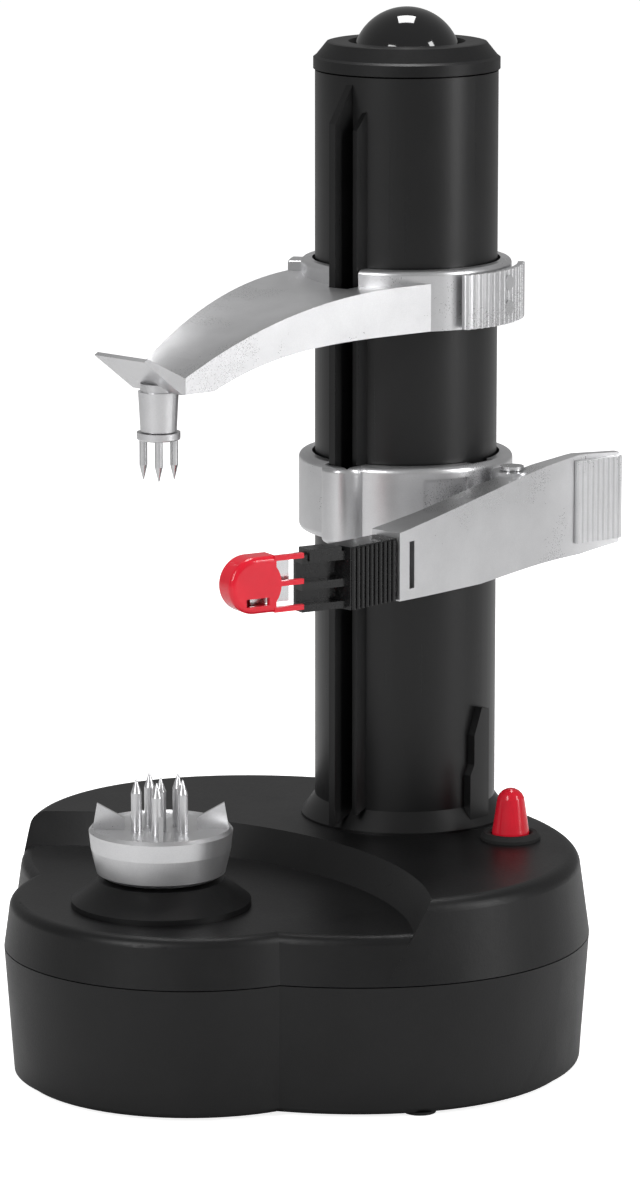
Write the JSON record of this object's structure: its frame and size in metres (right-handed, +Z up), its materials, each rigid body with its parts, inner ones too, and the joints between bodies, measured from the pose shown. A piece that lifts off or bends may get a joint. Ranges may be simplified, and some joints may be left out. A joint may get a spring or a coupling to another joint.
{
  "type": "electric potato peeler",
  "caption": "Countertop electric peeler: a spinning food holder, a column with a sliding upper arm, and a sprung blade arm that travels down past the food.",
  "frame": {"origin": "on the floor under the column axis, on the face of the foot there", "axes": "+Z up along the column, -Y from the column to the food holder, +X on the blade arm side"},
  "size_m": [0.178, 0.1795, 0.2941],
  "materials": {
    "black_satin": "satin, fine grain",
    "black_column": "smooth satin",
    "black_gloss": "polished",
    "silver": "satin silver paint on plastic",
    "red_gloss": "gloss",
    "steel": "bright steel",
    "spring_steel": "drawn wire",
    "white_nylon": "moulded nylon",
    "grey_plastic": "moulded",
    "motor_can": "zinc plated",
    "brass": "turned",
    "rubber": "matt",
    "cell": "printed sleeve, plain"
  },
  "bodies": {
    "base": {"base_cover": "black_satin", "base_tub": "black_satin", "bottom_plate": "black_satin", "battery_case": "grey_plastic", "batteries": "cell", "battery_contacts": "spring_steel", "spare_blade_box": "grey_plastic", "spare_blades": "steel", "rubber_feet": "rubber", "base_screws": "steel", "gear_plate": "grey_plastic", "plate_screws": "steel", "shaft_bushes": "brass", "gear_axles": "steel", "motor": "motor_can", "holder_skirt": "black_satin", "column": "black_column", "column_cap": "black_satin", "cap_dome": "black_gloss", "screw_bush": "white_nylon", "button_bezel": "rubber", "button_spring": "spring_steel", "power_switch": "grey_plastic", "power_inlet": "black_satin"},
    "holder": {"holder_shaft": "steel", "holder_gear": "white_nylon", "food_holder": "silver", "holder_pins": "silver"},
    "idler": {"idler_gear": "white_nylon"},
    "first_wheel": {"first_gear": "white_nylon"},
    "rotor": {"motor_shaft": "steel", "motor_pinion": "brass"},
    "feed_screw": {"lead_screw": "steel", "screw_gear": "white_nylon"},
    "top_arm": {"upper_arm": "silver"},
    "release": {"release_pad": "silver"},
    "spindle": {"top_spindle": "silver", "spindle_pins": "steel"},
    "slider": {"carriage": "silver", "half_nut": "white_nylon", "pivot_pin": "steel", "arm_spring": "spring_steel"},
    "lever": {"blade_arm": "silver", "thumb_pad": "silver"},
    "cartridge": {"blade_holder": "black_gloss", "blade_guard": "red_gloss", "peeling_blade": "steel"},
    "button": {"power_button": "red_gloss"},
    "cell_door": {"battery_door": "black_satin"},
    "spare_door": {"spare_blade_door": "black_satin"}
  },
  "joints": [
    {"name": "holder_spin", "type": "hinge", "parent": "base", "child": "holder", "pos_m": [0, -0.1, 0.06], "axis": [0, 0, 1], "continuous": true},
    {"name": "idler_spin", "type": "hinge", "parent": "base", "child": "idler", "pos_m": [0, -0.05, 0.04], "axis": [0, 0, 1], "continuous": true},
    {"name": "first_wheel_spin", "type": "hinge", "parent": "base", "child": "first_wheel", "pos_m": [0.033, -0.05, 0.036], "axis": [0, 0, 1], "continuous": true},
    {"name": "motor_spin", "type": "hinge", "parent": "base", "child": "rotor", "pos_m": [0.05985, -0.0345, 0.033], "axis": [0, 0, 1], "continuous": true},
    {"name": "screw_spin", "type": "hinge", "parent": "base", "child": "feed_screw", "pos_m": [0, 0, 0.1], "axis": [0, 0, 1], "continuous": true},
    {"name": "upper_arm_slide", "type": "slide", "parent": "base", "child": "top_arm", "axis": [0, 0, 1], "range_m": [-0.026, 0.046]},
    {"name": "release_press", "type": "slide", "parent": "top_arm", "child": "release", "axis": [-0.9763, -0.2164, 0], "range_m": [0, 0.0013], "stiffness_N_per_m": 800, "springref_m": -0.001},
    {"name": "spindle_spin", "type": "hinge", "parent": "top_arm", "child": "spindle", "pos_m": [0, -0.1, 0.19], "axis": [0, 0, 1], "continuous": true},
    {"name": "carriage_slide", "type": "slide", "parent": "base", "child": "slider", "axis": [0, 0, 1], "range_m": [-0.054, 0.03]},
    {"name": "blade_arm_swing", "type": "hinge", "parent": "slider", "child": "lever", "pos_m": [0.037, 0.004, 0.15], "axis": [0, 0, 1], "range_deg": [-10, 8]},
    {"name": "cartridge_slide", "type": "slide", "parent": "lever", "child": "cartridge", "axis": [0, -1, 0], "range_m": [0, 0.021]},
    {"name": "button_press", "type": "slide", "parent": "base", "child": "button", "axis": [0, 0, -1], "range_m": [0, 0.003], "stiffness_N_per_m": 400, "springref_m": -0.002, "deforming": ["button_spring"]},
    {"name": "battery_door_hinge", "type": "hinge", "parent": "base", "child": "cell_door", "pos_m": [-0.0696, -0.0455, 0.0008], "axis": [0, 1, 0], "range_deg": [0, 100]},
    {"name": "spare_door_hinge", "type": "hinge", "parent": "base", "child": "spare_door", "pos_m": [0.0084, -0.079, 0.0008], "axis": [0, 1, 0], "range_deg": [0, 100]}
  ],
  "couplings": [
    {"joint": "idler_spin", "follows": "first_wheel_spin", "ratio": -0.22222},
    {"joint": "holder_spin", "follows": "first_wheel_spin", "ratio": 0.20513},
    {"joint": "motor_spin", "follows": "first_wheel_spin", "ratio": -4.1667},
    {"joint": "screw_spin", "follows": "first_wheel_spin", "ratio": 0.20513}
  ]
}
